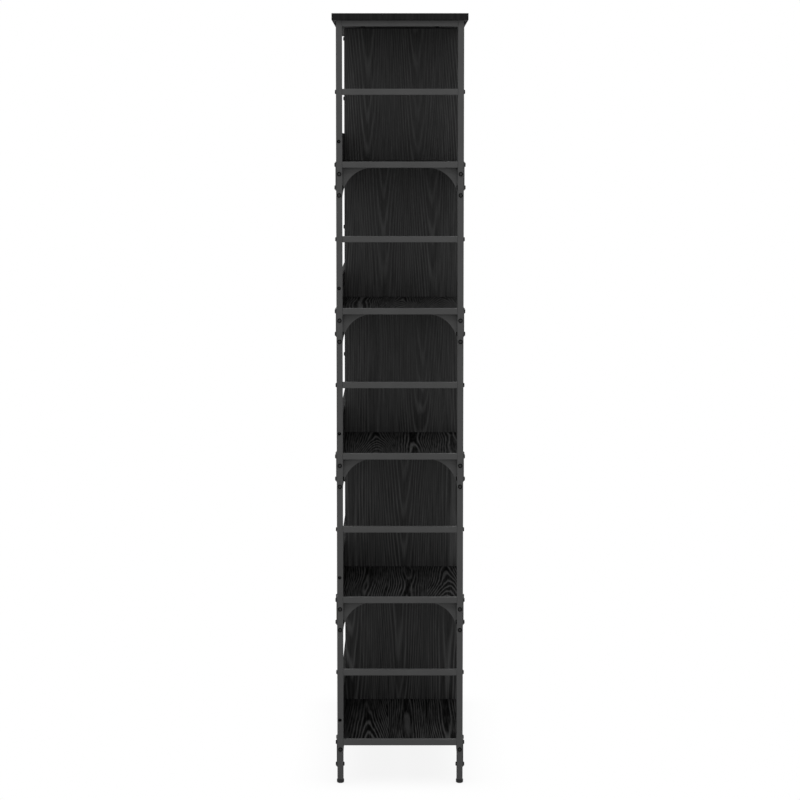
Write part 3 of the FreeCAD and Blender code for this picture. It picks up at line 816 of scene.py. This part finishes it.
# %% Nylon finish
MOULD_GRAIN = 0.0008
MELT_FLOW = 0.008
black_nylon, tree = new_material("moulded_black_nylon")
where = add(tree, "TexCoord", out="Object")
grain = add(tree, "TexNoise", inputs={"Vector": where, "Scale": 1.0 / MOULD_GRAIN, "Detail": 2.0})
flow = add(tree, "TexNoise", inputs={"Vector": where, "Scale": 1.0 / MELT_FLOW, "Detail": 2.0})
tone = add(tree, "Mix", {"data_type": "RGBA"}, {
    "Factor": flow, "A": linear("#262626"), "B": linear("#303030")}, "Result")
rough = add(tree, "MapRange", inputs={"Value": grain, "To Min": 0.42, "To Max": 0.6})
bump = add(tree, "Bump", inputs={"Strength": 0.2, "Distance": 0.0001, "Height": grain})
add(tree, "OutputMaterial", inputs={"Surface": add(tree, "BsdfPrincipled", inputs={
    "Base Color": tone, "Roughness": rough, "Normal": bump, "IOR": 1.53, "Specular IOR Level": 0.1})})
print("nylon made")

# %% [markdown]
# ## Beech
# Dowels are turned beech, pale brown with short dark flecks along the grain, about half a millimetre wide.
# A dowel is too thin to show rings, so stretched noise alone draws the flecks, at their real size.

# %% Beech finish
FLECK_WIDTH = 0.0005
FLECK_LENGTH = 0.005
beech, tree = new_material("turned_beech")
where = add(tree, "TexCoord", out="Object")
along_dowel = add(tree, "Mapping", inputs={
    "Vector": where, "Scale": (1.0 / FLECK_WIDTH, 1.0 / FLECK_WIDTH, 1.0 / FLECK_LENGTH)})
flecks = add(tree, "TexNoise", inputs={"Vector": along_dowel, "Scale": 1.0, "Detail": 2.0})
tone = add(tree, "Mix", {"data_type": "RGBA"}, {
    "Factor": flecks, "A": linear("#d3b58c"), "B": linear("#b08b5e")}, "Result")
rough = add(tree, "MapRange", inputs={"Value": flecks, "To Min": 0.5, "To Max": 0.7})
bump = add(tree, "Bump", inputs={"Strength": 0.2, "Distance": 0.0001, "Height": flecks})
add(tree, "OutputMaterial", inputs={"Surface": add(tree, "BsdfPrincipled", inputs={
    "Base Color": tone, "Roughness": rough, "Normal": bump, "IOR": 1.45})})
print("beech made")

# %% [markdown]
# ## Putting the finishes on
# Every measured node takes the finish of its kind, chosen by the start of its name, and what is left is the
# coated steel frame. The pieces modelled above take theirs in the same way.

# %% Put the finishes on
FINISHES = (
    ("divider_dowels", beech),
    ("divider_", oak_upright),
    ("back_stop_screws", black_oxide),
    ("back_stop_", oak_back_stop),
    ("shelf_", oak_shelf),
    ("top_board", oak_top),
    ("rail_plugs", zinc_plate),
    ("post_connectors", zinc_plate),
    ("leg_inserts", black_nylon),
    ("rail_bolts", black_oxide),
    ("post_bolts", black_oxide),
    ("sleeve_nuts", black_oxide),
    ("board_screws", black_oxide),
)
counts = {}
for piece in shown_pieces():
    if piece in feet:
        finish = black_nylon
    else:
        finish = next((finish for start, finish in FINISHES if piece.name.startswith(start)), powder_coat)
    piece.data.materials.clear()
    piece.data.materials.append(finish)
    counts[finish.name] = counts.get(finish.name, 0) + 1
print("finishes", counts)

# %% [markdown]
# ## Size and end
# The dressed bookcase has to keep the measured size, so its size is printed, to set beside the measured size
# printed when the frame was loaded.

# %% Print the dressed size and finish
low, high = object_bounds()
print("visual size", [round(v, 4) for v in high - low])
